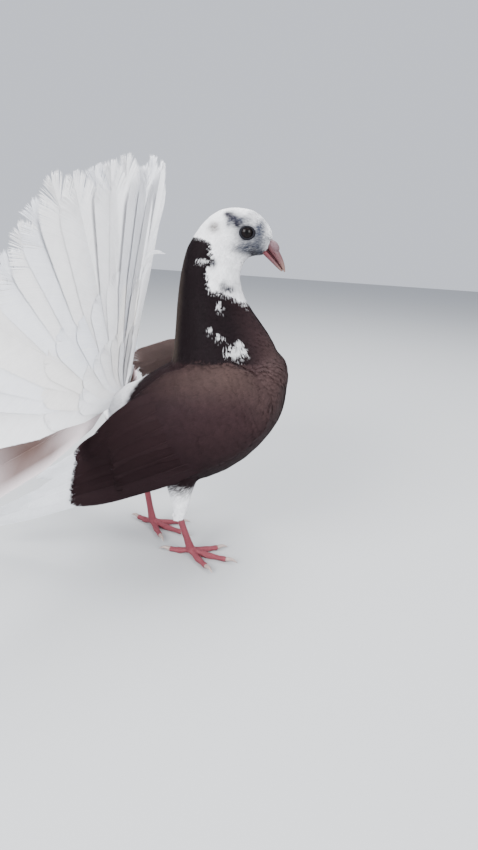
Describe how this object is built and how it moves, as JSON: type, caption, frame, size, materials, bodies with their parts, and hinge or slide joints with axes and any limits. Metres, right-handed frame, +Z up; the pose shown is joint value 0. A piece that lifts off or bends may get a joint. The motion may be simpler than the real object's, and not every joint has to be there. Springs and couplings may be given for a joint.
{
  "type": "fantail pigeon",
  "caption": "Standing fantail pigeon with an upright spread tail fan, folded wings and an upright neck, feet on the ground.",
  "frame": {"origin": "on the ground under the middle of the bird's box", "axes": "+X where the bird faces, +Y to its left, +Z up"},
  "size_m": [0.1964, 0.2899, 0.253],
  "materials": {
    "brown_plumage": "dark brown body and wing feathers",
    "white_plumage": "white face and tail feathers",
    "dark_eye": "wet, nearly black",
    "pink_bill": "pale pink horn",
    "red_leg": "coral red scaled skin",
    "pale_claw": "pale grey-brown horn"
  },
  "bodies": {
    "root": {"bill_lower": "pink_bill", "bill_upper": "pink_bill", "claw_left_1": "pale_claw", "claw_left_2": "pale_claw", "claw_left_3": "pale_claw", "claw_left_4": "pale_claw", "claw_right_1": "pale_claw", "claw_right_2": "pale_claw", "claw_right_3": "pale_claw", "claw_right_4": "pale_claw", "eye_left": "dark_eye", "eye_right": "dark_eye", "head": "white_plumage", "leg_left": "red_leg", "leg_right": "red_leg", "neck": "brown_plumage", "tail": "white_plumage", "thigh_left": "brown_plumage", "thigh_right": "brown_plumage", "torso": "brown_plumage", "wing_left": "brown_plumage", "wing_right": "brown_plumage"}
  },
  "joints": []
}
